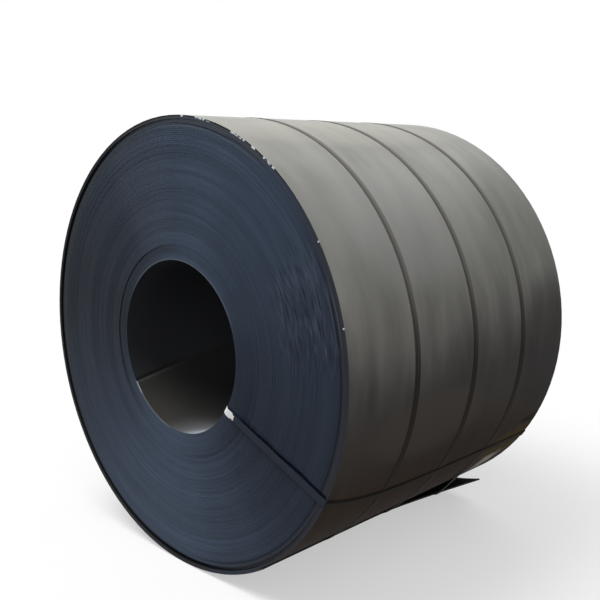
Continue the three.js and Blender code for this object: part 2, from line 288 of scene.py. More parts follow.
class Graph:
    """The node tree of a material or of the world, with short calls for what it needs."""

    def __init__(self, owner: Material | bpy.types.World) -> None:
        """Empties the owner's node tree.

        Args:
            owner: The material or the world.
        """
        owner.use_nodes = True
        owner.node_tree.nodes.clear()
        self.owner = owner

    @classmethod
    def of_material(cls, name: str) -> "Graph":
        """The graph of a new material."""
        return cls(bpy.data.materials.new(name))

    def node(self, kind: str, inputs: dict | tuple = (), **settings: object) -> bpy.types.Node:
        """Adds a node.

        Args:
            kind: Type of the node, without its prefix.
            inputs: Values for its inputs, in their order or by their names.
            settings: Its properties.

        Returns:
            The node.
        """
        node = self.owner.node_tree.nodes.new(f"ShaderNode{kind}")
        for key, value in settings.items():
            setattr(node, key, value)
        for key, value in inputs.items() if isinstance(inputs, dict) else enumerate(inputs):
            socket = node.inputs[key]
            if isinstance(value, Signal):
                self.owner.node_tree.links.new(value.socket, socket)
            else:
                socket.default_value = (*value, 1.0) if socket.type == "RGBA" else value
        return node

    def signal(self, kind: str, inputs: dict | tuple = (), output: int | str = 0,
               **settings: object) -> "Signal":
        """Adds a node and gives one of its outputs."""
        return Signal(self, self.node(kind, inputs, **settings).outputs[output])

    def vector(self, *parts: Value) -> "Signal":
        """Joins up to three values into a vector."""
        return self.signal("CombineXYZ", parts)

    def noise(self, place: Value, scale: float, detail: float = 3.0) -> "Signal":
        """A noise pattern from 0 to 1."""
        return self.signal("TexNoise", {"Vector": place, "Scale": scale, "Detail": detail})

    @cached_property
    def place(self) -> "Signal":
        """Object coordinates."""
        return self.signal("TexCoord", output="Object")

    def from_axis(self, winding: Winding) -> "Signal":
        """Vector from the coil's axis, square to it."""
        return (self.place - winding.axis) * (1.0, 0.0, 1.0)

    def clouded(self, pattern: "Signal", share: float, grain: float) -> "Signal":
        """Mixes clouds into a noise pattern, which keeps its share."""
        return pattern * share + self.noise(self.place, grain) * (1 - share)

    def upward(self) -> "Signal":
        """How far the surface faces up, from -1 to 1."""
        return self.signal("NewGeometry", output="Normal").parts()[2]

    def strip_place(self) -> "list[Signal]":
        """Metres along and across the band, from its UV map."""
        return self.signal("UVMap", uv_map="band").parts()[:2]

    def seen(self) -> "Signal":
        """1 where something is seen, also in a reflection, and 0 where it only gives light.

        Returns:
            The signal of 1 or 0.
        """
        path = self.node("LightPath")
        rays = (path.outputs[f"Is {name} Ray"] for name in ("Camera", "Glossy", "Transmission"))
        return reduce(Signal.peak, (Signal(self, ray) for ray in rays))

    def surface(self, **inputs: Value) -> Material:
        """Finishes the material with a Principled shader.

        Args:
            inputs: Values for the shader's inputs, with _ for a space.

        Returns:
            The finished material.
        """
        named = {key.replace("_", " "): value for key, value in inputs.items()}
        self.node("OutputMaterial", (self.signal("BsdfPrincipled", named),))
        return self.owner


@dataclass(frozen=True)
class Signal:
    """The output of a node, to be reckoned with like a number, a vector or a colour."""

    graph: Graph
    socket: bpy.types.NodeSocket

    def reckon(self, operation: str, *others: Value, output: int | str = 0) -> "Signal":
        """A math node on this signal and any others."""
        kind = "VectorMath" if self.socket.type == "VECTOR" else "Math"
        return self.graph.signal(kind, (self, *others), output, operation=operation)

    def __add__(self, other: Value) -> "Signal":
        """Sum."""
        return self.reckon("ADD", other)

    def __sub__(self, other: Value) -> "Signal":
        """Difference."""
        return self.reckon("SUBTRACT", other)

    def __mul__(self, other: Value) -> "Signal":
        """Product."""
        return self.reckon("MULTIPLY", other)

    def __abs__(self) -> "Signal":
        """Size without sign."""
        return self.reckon("ABSOLUTE")

    def peak(self, other: Value) -> "Signal":
        """The larger of two."""
        return self.reckon("MAXIMUM", other)

    def dot(self, other: Value) -> "Signal":
        """Scalar product of two vectors."""
        return self.reckon("DOT_PRODUCT", other, output="Value")

    def length(self) -> "Signal":
        """Length of a vector."""
        return self.reckon("LENGTH", output="Value")

    def parts(self) -> "list[Signal]":
        """The three parts of a vector."""
        split = self.graph.node("SeparateXYZ", (self,))
        return [Signal(self.graph, socket) for socket in split.outputs]

    def band(self, low: float, high: float) -> "Signal":
        """Rises smoothly from 0 at low to 1 at high, or falls if high is the lower one."""
        inputs = {"Value": self, "From Min": low, "From Max": high}
        return self.graph.signal("MapRange", inputs, interpolation_type="SMOOTHSTEP")

    def pattern(self) -> "Signal":
        """Spreads the middle of a noise pattern over 0 to 1."""
        return self.band(*NOISE_LIMITS)

    def uneven(self, amount: float) -> "Signal":
        """Makes a noise pattern swing on both sides of 0."""
        return (self - NOISE_MIDDLE) * amount

    def scaled(self, low: float, high: float) -> "Signal":
        """Maps 0..1 to low..high."""
        return self.graph.signal("MapRange", {"Value": self, "To Min": low, "To Max": high})

    def around_one(self, swing: float) -> "Signal":
        """Maps 0..1 to as much below 1 as above it."""
        return self.scaled(1 - swing, 1 + swing)

    def mix(self, first: Value, second: Value) -> "Signal":
        """A colour between two, with this signal as the share of the second."""
        return self.graph.signal("Mix", {"Factor": self, 6: first, 7: second}, 2, data_type="RGBA")

    def shaded(self, tone: Value) -> "Signal":
        """Multiplies a colour by a tone."""
        return self.graph.signal("VectorMath", {0: self, "Scale": tone}, operation="SCALE")


# ------------------------------------------------------------------------------ finishes


@dataclass(frozen=True)
class Patch:
    """A ragged oval patch of the coil's outside, long one way and narrow the other, used to paint
    light and shade onto it.
    """

    angle: float
    y: float
    slope: float
    half_length: float
    half_width: float
    colour: Colour
    share: float
    ragged: float = 0.0
    grain: float = 9.0
    detail: float = 4.0
    fade: Limits = (1.0, 0.2)
    near_side: Limits = (-0.35, -0.20)

    def mask(self, graph: Graph, winding: Winding) -> Signal:
        """The patch's share of the colour at each place.

        Args:
            graph: The material's graph.
            winding: The law of the wound strip.

        Returns:
            The share.
        """
        slope = math.radians(self.slope)
        round_it = toward(self.angle + FULL_TURN / 4)
        along = round_it * math.cos(slope) + Vector((0, math.sin(slope), 0))
        across = round_it * -math.sin(slope) + Vector((0, math.cos(slope), 0))
        off = graph.place - winding.place(winding.outer_radius, self.angle, self.y)
        lengthwise = off.dot(along / self.half_length)
        crosswise = off.dot(across / self.half_width)
        ragged = graph.noise(graph.place, self.grain, self.detail).uneven(self.ragged)
        away = lengthwise * lengthwise + crosswise * crosswise + ragged
        near_side = off.dot(toward(self.angle)).band(*self.near_side)
        return away.band(*self.fade) * near_side * self.share


@dataclass(frozen=True)
class RolledScale:
    """Mill scale on the strip's outer side: satin, streaked along the strip, dusty and painted
    lighter where it faces up, in painted shade where it faces down, and with ovals of painted
    light, shade and reflection."""

    # Dust where the outside faces up, made lighter as painted light from above.
    dust_and_top_light: Colour = (0.240, 0.238, 0.221)
    scale: Colour = (0.063, 0.058, 0.055)
    # Painted shade where the outside faces down.
    shade: Colour = (0.038, 0.0255, 0.0185)
    wound_in: Colour = (0.020, 0.028, 0.045)
    tone: float = 0.16
    unevenness: float = 0.35
    facing_up: Limits = (-0.14, 0.40)
    facing_down: Limits = (0.0, 0.6)
    rough_under: float = 0.70
    rough: float = 0.42
    rough_dust: float = 0.30
    # The streaks' pattern is squeezed along the strip, so that they come out long.
    streak_squeeze: float = 0.25
    streak_grain: float = 9.0
    streak_share: float = 0.6
    cloud_grain: float = 1.7
    fine_grain: float = 60.0
    fine_relief: float = 0.05
    relief: float = 0.004
    relief_strength: float = 0.2
    wound_in_reach: Limits = (0.1, 0.3)
    winding: Winding = Winding()
    painted_patches: tuple[Patch, ...] = (
        # Painted light on the upper side, near the top.
        Patch(70.0, -0.10, 0.0, 0.190, 0.950, (0.355, 0.350, 0.298), 0.50),
        # Painted light on the upper right side.
        Patch(36.0, -0.20, 0.0, 0.340, 0.620, (0.320, 0.318, 0.310), 0.50),
        # Painted light on the right side, toward the front.
        Patch(-15.0, -0.22, 0.0, 0.170, 0.450, (0.074, 0.064, 0.052), 0.80),
        # Painted shade low on the right, toward the front.
        Patch(-56.0, -0.40, 0.0, 0.200, 0.600, (0.016, 0.011, 0.008), 0.75),
        # Painted shade on the right side, toward the back end.
        Patch(-3.0, 0.640, 0.0, 0.380, 0.300, (0.020, 0.018, 0.018), 0.60),
        # Painted reflection of a yellow-brown floor, low on the right toward the back.
        Patch(-36.0, 0.660, 80.0, 0.240, 0.150, (0.080, 0.056, 0.018), 0.9, 3.0),
        # Painted shadow: a dark notch near the back end, low on the right.
        Patch(-27.6, 0.730, 88.0, 0.150, 0.036, (0.003, 0.003, 0.003), 1.0, 1.5),
        # Painted highlight: a pale streak low on the right, toward the back.
        Patch(-44.5, 0.575, 46.0, 0.115, 0.085, (1.0, 0.92, 0.78), 1.0, 2.5),
    )

    def build(self) -> Material:
        """Builds the material.

        Returns:
            The material.
        """
        graph = Graph.of_material("rolled_scale")
        along, across = graph.strip_place()
        streaks = graph.noise(graph.vector(along * self.streak_squeeze, across), self.streak_grain)
        mottle = graph.clouded(streaks, self.streak_share, self.cloud_grain)
        fine = graph.noise(graph.place, self.fine_grain)
        upward = graph.upward()
        # Dust and painted light where the surface faces up, painted shade where it faces down.
        dusty_and_lit = (mottle.uneven(self.unevenness) + upward).band(*self.facing_up)
        under = (upward * -1.0).band(*self.facing_down)
        colour = dusty_and_lit.mix(under.mix(self.scale, self.shade), self.dust_and_top_light)
        colour = colour.shaded(mottle.pattern().around_one(self.tone))
        # Ovals of painted light, shade and reflection.
        for patch in self.painted_patches:
            colour = patch.mask(graph, self.winding).mix(colour, patch.colour)
        outermost = self.winding.length(self.winding.wound - FULL_TURN)
        wound_in = along.band(*(outermost - reach for reach in self.wound_in_reach))
        rough = dusty_and_lit.scaled(self.rough, self.rough_dust)
        bump = {"Height": mottle + fine * self.fine_relief, "Strength": self.relief_strength,
                "Distance": self.relief}
        return graph.surface(
            Base_Color=wound_in.mix(colour, self.wound_in),
            Roughness=rough + under * (self.rough_under - self.rough),
            Specular_IOR_Level=DULL_SPECULAR,
            Normal=graph.signal("Bump", bump),
        )


@dataclass(frozen=True)
class BoreScale:
    """The strip's inner side: very dark, a little greyer deep in the bore, lighter and brown
    toward the head in painted light, with a painted highlight at the lip of the bore and painted
    shadows next to the head's edge and under the sprung tail."""

    scale: Colour = (0.028, 0.029, 0.032)
    deep: Colour = (0.110, 0.114, 0.125)
    deep_reach: Limits = (0.1, 0.9)
    brown: Colour = (0.039, 0.038, 0.036)
    brown_reach: Limits = (1.1, 0.1)
    brown_depth: Limits = (0.75, 0.1)
    brown_unevenness: float = 0.5
    shadow: Colour = (0.006, 0.006, 0.005)
    shadow_reach: float = 1.2
    # Painted highlight colours: a soft glow on the head's edge and round the lip, and a brighter
    # middle at the lip.
    glow: Colour = (0.140, 0.146, 0.152)
    bare_and_highlight: Colour = (0.33, 0.36, 0.39)
    lip_angle: float = 297.0
    lip_spread: float = 28.0
    lip_reach: float = 0.085
    lip_unevenness: float = 0.06
    # Shift in degrees from the lip's angle, and spread and reach as shares of the lip's own, for
    # the soft and the bright part of the painted highlight.
    soft_highlight: tuple[float, float, float] = (5.0, 1.9, 3.6)
    bright_highlight: tuple[float, float, float] = (0.0, 1.0, 1.3)
    highlight_fade: float = 0.3
    highlight_fade_inward: float = 0.25
    head_depth: Limits = (0.38, 0.05)
    head_shadow: float = 0.65
    head_shadow_line: Limits = (0.025, 0.010)
    head_light: float = 0.30
    head_light_line: Limits = (0.016, 0.004)
    grain: float = 9.0
    rough: Limits = (0.55, 1.0)
    specular: float = 0.04
    winding: Winding = Winding()

    def build(self) -> Material:
        """Builds the material.

        Returns:
            The material.
        """
        graph = Graph.of_material("bore_scale")
        along, across = graph.strip_place()
        clouds = graph.noise(graph.place, self.grain)
        edge = across + self.winding.width / 2
        # Lighter brown toward the head, low in the bore: painted light where the bore's bottom is
        # lit from outside.
        lit_near_head = (clouds.uneven(self.brown_unevenness) + along).band(*self.brown_reach)
        lit_near_head = lit_near_head * edge.band(*self.brown_depth)
        colour = edge.band(*self.deep_reach).mix(self.scale, self.deep)
        colour = lit_near_head.mix(colour, self.brown)
        # Painted shadow in a line next to the head's edge, and a painted highlight along the edge
        # itself.
        inward = edge.band(*self.head_depth)
        head_shadow_share = self.beside_head(along, across) * inward * self.head_shadow
        head_highlight_share = along.band(*self.head_light_line) * inward * self.head_light
        colour = head_highlight_share.mix(head_shadow_share.mix(colour, self.shadow), self.glow)
        # Painted highlight at the lip of the bore: a soft wide part round a brighter middle.
        edge = clouds.uneven(self.lip_unevenness) + edge
        glow = self.lit_lip(along, edge, *self.soft_highlight)
        bare_and_highlight = self.lit_lip(along, edge, *self.bright_highlight)
        colour = bare_and_highlight.mix(glow.mix(colour, self.glow), self.bare_and_highlight)
        total = self.winding.total
        shadow = along.band(total - self.shadow_reach, total - self.shadow_reach / 2)
        return graph.surface(
            Base_Color=shadow.mix(colour, self.shadow),
            Roughness=shadow.scaled(*self.rough),
            Specular_IOR_Level=self.specular,
        )

    def beside_head(self, along: Signal, across: Signal) -> Signal:
        """1 in a line along the head's bowed edge, on the turn that the head lies on, where a
        shadow is painted.

        Args:
            along: Metres along the strip.
            across: Metres across it from the middle.

        Returns:
            The share of the line.
        """
        law = self.winding
        bow = law.length(FULL_TURN) - law.length(FULL_TURN - law.head_tongue)
        curve = (across * (math.pi / law.width)).reckon("COSINE")
        limits = (law.length(FULL_TURN) - before for before in self.head_shadow_line)
        return (curve * bow + along).band(*limits)

    def lit_lip(self, along: Signal, edge: Signal, shift: float, spread: float,
             reach: float) -> Signal:
        """1 where the lip has its painted highlight, fading round the bore and into it.

        Args:
            along: Metres along the strip.
            edge: Metres from the strip's front edge.
            shift: Degrees from the lip's angle to the middle of the highlight.
            spread: Its width as a share of the lip's spread.
            reach: Its depth as a share of the lip's reach.

        Returns:
            The share of the highlight.
        """
        middle = self.winding.length(self.lip_angle + shift - self.winding.head_angle)
        half = math.radians(self.lip_spread * spread) * self.winding.bore_radius
        deep = self.lip_reach * reach
        around = abs(along - middle).band(half, half * self.highlight_fade)
        return around * edge.band(deep, deep * self.highlight_fade_inward)


@dataclass(frozen=True)
class Mark:
    """A mark on the coil's front, between two radii and on both sides of an angle."""

    inner: float
    outer: float
    angle: float
    spread: float
    fade: float
    colour: Colour
    share: float
    soft: float = 0.005

    def mask(self, radius: Signal, outward: Signal) -> Signal:
        """The mark's share of the colour at each place.

        Args:
            radius: Distance from the coil's axis.
            outward: Direction from the coil's axis.

        Returns:
            The share.
        """
        limits = (math.cos(math.radians(a)) for a in (self.spread, self.spread - self.fade))
        around = outward.dot(toward(self.angle)).band(*limits)
        inside = radius.band(self.inner - self.soft, self.inner + self.soft)
        outside = radius.band(self.outer + self.soft, self.outer - self.soft)
        return around * inside * outside * self.share


@dataclass(frozen=True)
class Streak:
    """A straight streak on the coil's front, between two places given as radius and angle, used
    for the painted shadow next to the eye strap.
    """

    start: tuple[float, float]
    end: tuple[float, float]
    half_width: float
    colour: Colour
    share: float
    fade: float = 0.02
    # Where its sides end and where they are full, as shares of half its width.
    sides: Limits = (1.5, 0.5)

    def mask(self, out: Signal) -> Signal:
        """The streak's share of the colour at each place.

        Args:
            out: Vector from the coil's axis, square to it.

        Returns:
            The share.
        """
        start, end = (toward(angle) * radius for radius, angle in (self.start, self.end))
        length = (end - start).length
        along = (end - start) / length
        off = out - start
        lengthwise = off.dot(along)
        crosswise = abs(off.dot(Vector((-along.z, 0, along.x))))
        ends = lengthwise.band(0.0, self.fade) * lengthwise.band(length, length - self.fade)
        limits = (self.half_width * side for side in self.sides)
        return ends * crosswise.band(*limits) * self.share


@dataclass(frozen=True)
class MillEdge:
    """Edges of the strip: blue-black scale, a little different on every turn, with a painted sheen
    along one line across the coil, one side painted lighter, painted light and shade at the rims,
    the bore and the eye strap, and the marks of handling."""

    light: Colour = (0.0385, 0.055, 0.086)
    dark: Colour = (0.0264, 0.0368, 0.0588)
    # Bright steel of the chips, with a painted glint.
    bare_and_highlight: Colour = (0.62, 0.66, 0.70)
    # Painted shade on the tail's cut end.
    tail_shade: Colour = (0.012, 0.011, 0.010)
    rough: float = 0.34
    specular: float = 0.072
    # Painted sheen along one line across the coil, and one side painted lighter.
    sheen: float = 0.51
    sheen_angle: float = 76.5
    painted_side_light: float = 0.22
    painted_side_angle: float = -47.0
    ring: float = 0.15
    ring_grain: float = 62.0
    ring_drift: float = 0.05
    drift_grain: float = 1.3
    turn_grain: float = 0.9
    turn_share: float = 0.65
    cloud_grain: float = 2.2
    front_side: Limits = (0.1, -0.1)
    tail_shade_reach: Limits = (0.02, 0.005)
    scuff_grain: float = 9.0
    chip_grain: float = 95.0
    chip_specks: Limits = (0.44, 0.54)
    chip_edge: Limits = (-0.762, -0.768)
    chip_fade: float = 0.004
    # Chips longer than this are broken up into specks.
    long_chip: float = 2.0
    winding: Winding = Winding()
    marks: tuple[Mark, ...] = (
        # Painted shade on the outermost turns round the left.
        Mark(0.960, 1.1, 195.0, 104.0, 25.0, (0.017, 0.017, 0.0175), 0.85),
        # Painted shade in the groove inside the outermost turns, round the lower left.
        Mark(0.943, 0.962, 215.0, 76.0, 35.0, (0.003, 0.003, 0.004), 0.85, 0.003),
        # Painted shade on the outermost turns at the upper left.
        Mark(0.966, 1.1, 128.0, 42.0, 20.0, (0.004, 0.004, 0.004), 0.85, 0.003),
        Mark(0.945, 0.973, 84.0, 40.0, 22.0, (0.055, 0.058, 0.060), 0.6, 0.003),
        # Painted shade on the outermost turn's edge at the top.
        Mark(0.973, 1.1, 80.0, 45.0, 20.0, (0.003, 0.003, 0.003), 1.0, 0.002),
        # Painted shade across the face at the upper right.
        Mark(0.40, 0.72, 45.0, 28.0, 20.0, (0.025, 0.035, 0.055), 0.35, 0.04),
        # Painted light across the face at the right.
        Mark(0.43, 0.93, 6.0, 34.0, 24.0, (0.080, 0.105, 0.150), 0.07, 0.02),
        # Painted light across the face at the top.
        Mark(0.43, 0.93, 108.0, 18.0, 14.0, (0.090, 0.110, 0.140), 0.15, 0.02),
        # Painted shade across the face at the lower left.
        Mark(0.43, 0.93, 210.0, 26.0, 18.0, (0.012, 0.016, 0.028), 0.12, 0.02),
        # Painted sheen across the face at the bottom.
        Mark(0.43, 0.93, 264.0, 24.0, 18.0, (0.080, 0.110, 0.170), 0.25, 0.02),
        # Painted shade across the face at the lower right.
        Mark(0.52, 0.93, 318.0, 16.0, 12.0, (0.012, 0.016, 0.026), 0.20, 0.02),
        # Painted light on the lip of a step near the rim at the top.
        Mark(0.932, 0.939, 78.0, 28.0, 18.0, (0.095, 0.105, 0.115), 0.5, 0.002),
        Mark(0.912, 0.941, 150.0, 60.0, 30.0, (0.036, 0.042, 0.044), 0.45),
        Mark(0.942, 1.1, -15.0, 70.0, 35.0, (0.034, 0.034, 0.040), 0.75, 0.003),
        # Painted shade in a groove near the rim at the right.
        Mark(0.929, 0.940, -25.0, 70.0, 30.0, (0.006, 0.007, 0.013), 0.75, 0.003),
        # Painted highlight on the outermost turn's edge at the right.
        Mark(0.976, 1.1, -10.0, 50.0, 25.0, (0.070, 0.070, 0.075), 0.6, 0.001),
        Mark(0.947, 0.954, 16.0, 9.0, 6.0, (0.110, 0.125, 0.150), 0.7, 0.002),
        Mark(0.923, 0.928, 17.0, 9.0, 6.0, (0.070, 0.085, 0.110), 0.6, 0.002),
        Mark(0.868, 0.874, 23.0, 10.0, 8.0, (0.075, 0.090, 0.115), 0.6, 0.003),
        # Painted shade next to the proud innermost turns, on the left.
        Mark(0.417, 0.446, 160.0, 85.0, 35.0, (0.010, 0.011, 0.018), 0.5, 0.007),
        # Painted highlight on the bore's edge at the top.
        Mark(0.30, 0.386, 85.0, 70.0, 25.0, (0.11, 0.125, 0.15), 0.6, 0.003),
        # Painted highlight on the bore's edge at the lower left.
        Mark(0.30, 0.3815, 236.0, 26.0, 8.0, (0.14, 0.155, 0.185), 0.9, 0.001),
        # Painted glint on the head's corner at the bore.
        Mark(0.30, 0.3815, 217.5, 6.5, 3.5, (0.34, 0.37, 0.42), 0.9, 0.001),
    )
    # Scuffed turns, lighter and darker in turn, with the noise level where each is strongest.
    scuffs: tuple[tuple[Mark, float], ...] = (
        (Mark(0.64, 0.93, 18.0, 20.0, 13.0, (0.058, 0.076, 0.105), 0.9, 0.04), 0.68),
        (Mark(0.64, 0.93, 18.0, 20.0, 13.0, (0.015, 0.020, 0.033), 0.9, 0.04), 0.32),
    )
    # Painted shadow of the eye strap on the front, along its upper side.
    streak: Streak = Streak((0.449, -31.0), (0.978, -26.15), 0.0065, (0.003, 0.0035, 0.007), 0.95)
    # Angle and length in degrees of each place where the outermost edge is knocked to bright
    # steel, with a painted glint.
    chips: tuple[tuple[float, float], ...] = (
        (86.2, 0.6), (78.5, 5.0), (65.5, 5.0), (59.7, 1.0), (54.6, 2.6), (52.1, 0.6), (31.9, 0.1),
        (13.0, 0.1),
    )

    def build(self) -> Material:
        """Builds the material.

        Returns:
            The material.
        """
        graph = Graph.of_material("mill_edge")
        along, across = graph.strip_place()
        turns = graph.noise(graph.vector(along), self.turn_grain, detail=2.0)
        mottle = graph.clouded(turns, self.turn_share, self.cloud_grain)
        colour = mottle.pattern().mix(self.dark, self.light)
        out = graph.from_axis(self.winding)
        radius, outward = out.length(), out.reckon("NORMALIZE")
        colour = colour.shaded(self.tone(graph, radius, outward))
        dashes = graph.noise(graph.vector(along), self.scuff_grain, detail=1.0)
        layers = [(mark, mark.mask(radius, outward)) for mark in self.marks]
        layers += [(mark, mark.mask(radius, outward) * dashes.band(NOISE_MIDDLE, most))
                   for mark, most in self.scuffs]
        layers += [(self.streak, self.streak.mask(out))]
        front = across.band(*self.front_side)
        for mark, mask in layers:
            colour = (mask * front).mix(colour, mark.colour)
        # Painted shade on the tail's cut end, under the sprung corner.
        tail_shaded = along.band(*(self.winding.total - reach for reach in self.tail_shade_reach))
        colour = tail_shaded.mix(colour, self.tail_shade)
        return graph.surface(
            Base_Color=self.chipped(graph, along, across).mix(colour, self.bare_and_highlight),
            Roughness=self.rough,
            Specular_IOR_Level=self.specular,
        )

    def tone(self, graph: Graph, radius: Signal, outward: Signal) -> Signal:
        """Tone round the coil: rings, a painted sheen along a line through the axis, one side
        painted lighter.

        Args:
            graph: The material's graph.
            radius: Distance from the coil's axis.
            outward: Direction from the coil's axis.

        Returns:
            The tone, which lies round 1.
        """
        drift = graph.noise(graph.place, self.drift_grain, detail=1.0) * self.ring_drift
        rings = graph.noise(graph.vector(radius, drift), self.ring_grain, detail=2.0).pattern()
        line = outward.dot(toward(self.sheen_angle))
        side = outward.dot(toward(self.painted_side_angle)) * self.painted_side_light + 1.0
        return (line * line).around_one(self.sheen) * side * rings.around_one(self.ring)

    def chipped(self, graph: Graph, along: Signal, across: Signal) -> Signal:
        """1 where the outermost turn's front edge is knocked to bright steel, with a painted
        glint.

        Args:
            graph: The material's graph.
            along: Metres along the strip.
            across: Metres across it from the middle.

        Returns:
            The share of bright steel with a painted glint.
        """
        specks = graph.noise(graph.place, self.chip_grain).band(*self.chip_specks)
        masks = []
        for angle, length in self.chips:
            middle = self.winding.length(self.winding.last(angle))
            half = math.radians(length / 2) * self.winding.outer_radius
            mask = abs(along - middle).band(half + self.chip_fade, half)
            masks.append(mask * specks if length > self.long_chip else mask)
        return reduce(Signal.peak, masks) * across.band(*self.chip_edge)


@dataclass(frozen=True)
class StrapScale:
    """Dark oxidised strapping, dusty and painted lighter where it faces up, with painted shade
    along one side of it.
    """

    dust_and_top_light: Colour = (0.165, 0.160, 0.147)
    # Painted shade along one side of the strap, on its dust.
    dust_in_painted_shade: Colour = (0.100, 0.096, 0.089)
    painted_shade_side: Limits = (0.004, -0.006)
    scale: Colour = (0.022, 0.018, 0.016)
    facing_up: Limits = (-0.08, 0.45)
    unevenness: float = 0.2
    grain: float = 6.0
    # The wear's pattern is squeezed across the strap, so that it comes out as fine lines.
    squeeze: float = 20.0
    rough: float = 0.6

    def build(self) -> Material:
        """Builds the material.

        Returns:
            The material.
        """
        graph = Graph.of_material("strap_scale")
        along, across = graph.strip_place()
        wear = graph.noise(graph.vector(along, across * self.squeeze), self.grain)
        dusty_and_lit = (wear.uneven(self.unevenness) + graph.upward()).band(*self.facing_up)
        dust_and_top_light = across.band(*self.painted_shade_side).mix(self.dust_and_top_light, self.dust_in_painted_shade)
        return graph.surface(
            Base_Color=dusty_and_lit.mix(self.scale, dust_and_top_light),
            Roughness=self.rough,
            Specular_IOR_Level=DULL_SPECULAR,
        )


@dataclass(frozen=True)
class EyeStrapLook:
    """The eye strap: bluish on the front, brown in painted shade along the outside, with a painted
    shadow along one side there and a painted highlight where it comes out of the bore."""

    face: Colour = (0.035, 0.041, 0.058)
    # Brown in painted shade along the outside, matching the coil's shaded underside.
    brown: Colour = (0.034, 0.026, 0.020)
    # Painted shadow along the strap's upper side on the outside.
    edge_shadow: Colour = (0.004, 0.004, 0.004)
    black_side: Limits = (-0.002, -0.007)
    black_reach: Limits = (-0.35, 0.15)
    black_least: float = 0.15
    # Painted highlight where the strap bends out of the bore.
    bare_and_highlight: Colour = (0.95, 0.95, 0.95)
    bare_radius: float = 0.428
    bare_unevenness: float = 0.09
    bare_grain: float = 38.0
    bare_soft: float = 0.003
    face_edge: float = 0.0005
    rough: float = 0.7
    winding: Winding = Winding()

    def build(self) -> Material:
        """Builds the material.

        Returns:
            The material.
        """
        graph = Graph.of_material("eye_strap_look")
        _, across = graph.strip_place()
        y = graph.place.parts()[1]
        half = self.winding.width / 2
        face = y.band(-half, -half - self.face_edge)
        fading = y.band(*self.black_reach).scaled(1.0, self.black_least)
        # Painted shadow along one side of the outer run.
        edge_shadow = across.band(*self.black_side) * fading * face.scaled(1.0, 0.0)
        colour = edge_shadow.mix(face.mix(self.brown, self.face), self.edge_shadow)
        uneven = graph.noise(graph.place, self.bare_grain).uneven(self.bare_unevenness)
        radius = uneven + graph.from_axis(self.winding).length()
        # Painted highlight on the strap's bend out of the bore.
        bend_highlight = radius.band(self.bare_radius + self.bare_soft, self.bare_radius - self.bare_soft)
        return graph.surface(
            Base_Color=(bend_highlight * face).mix(colour, self.bare_and_highlight),
            Roughness=self.rough,
            Specular_IOR_Level=DULL_SPECULAR,
        )


@dataclass(frozen=True)
class SealSteel:
    """Dull grey crimped seals."""

    light: Colour = (0.17, 0.17, 0.165)
    dark: Colour = (0.08, 0.078, 0.075)
    grain: float = 45.0
    rough: float = 0.42
    metallic: float = 0.6

    def build(self) -> Material:
        """Builds the material.

        Returns:
            The material.
        """
        graph = Graph.of_material("seal_steel_finish")
        return graph.surface(
            Base_Color=graph.noise(graph.place, self.grain).pattern().mix(self.dark, self.light),
            Roughness=self.rough,
            Metallic=self.metallic,
        )


@dataclass(frozen=True)
class PaleFloor:
    """Plain pale studio floor, which turns to the white of the surroundings further out."""

    seen: Colour = (0.90, 0.90, 0.90)
    lit: Colour = (0.20, 0.20, 0.20)
    whitening: Limits = (0.9, 2.7)
    least: float = 0.5

    def build(self) -> Material:
        """Builds the material.

        Returns:
            The material.
        """
        graph = Graph.of_material("pale_floor")
        seen = graph.seen()
        white = graph.place.length().band(*self.whitening).scaled(self.least, 1.0) * seen
        cloth = graph.signal("BsdfDiffuse", {"Color": seen.mix(self.lit, self.seen)})
        mixed = graph.signal("MixShader", (white, cloth, graph.signal("Emission")))
        graph.node("OutputMaterial", (mixed,))
        return graph.owner


# ------------------------------------------------------------------------------ flat bars


class Place(NamedTuple):
    """One station of a band's path: its middle, and the directions up from it and across it."""

    middle: Vector
    up: Vector
    across: Vector


def select_only(*pieces: Piece) -> None:
    """Selects these pieces and no others, not even the CAD nodes, the last one active.

    Args:
        pieces: The pieces.
    """
    bpy.ops.object.select_all(action="DESELECT")
    for piece in pieces:
        piece.select_set(True)
        bpy.context.view_layer.objects.active = piece


@contextmanager
def editing(piece: Piece) -> Iterator[None]:
    """Holds one piece in edit mode.

    Args:
        piece: The piece.

    Returns:
        A context that ends in object mode.
    """
    select_only(piece)
    bpy.ops.object.mode_set(mode="EDIT")
    yield
    bpy.ops.object.mode_set(mode="OBJECT")


def select_parts(piece: Piece, kind: Part, chosen: Callable[[object], bool]) -> None:
    """Selects those edges or faces that pass a test, in edit mode.

    Args:
        piece: The piece.
        kind: Whether its edges or its faces.
        chosen: The test of one edge or face.
    """
    mesh = bmesh.from_edit_mesh(piece.data)
    for part in getattr(mesh, kind.value):
        part.select_set(chosen(part))
    mesh.select_flush_mode()
    bmesh.update_edit_mesh(piece.data)


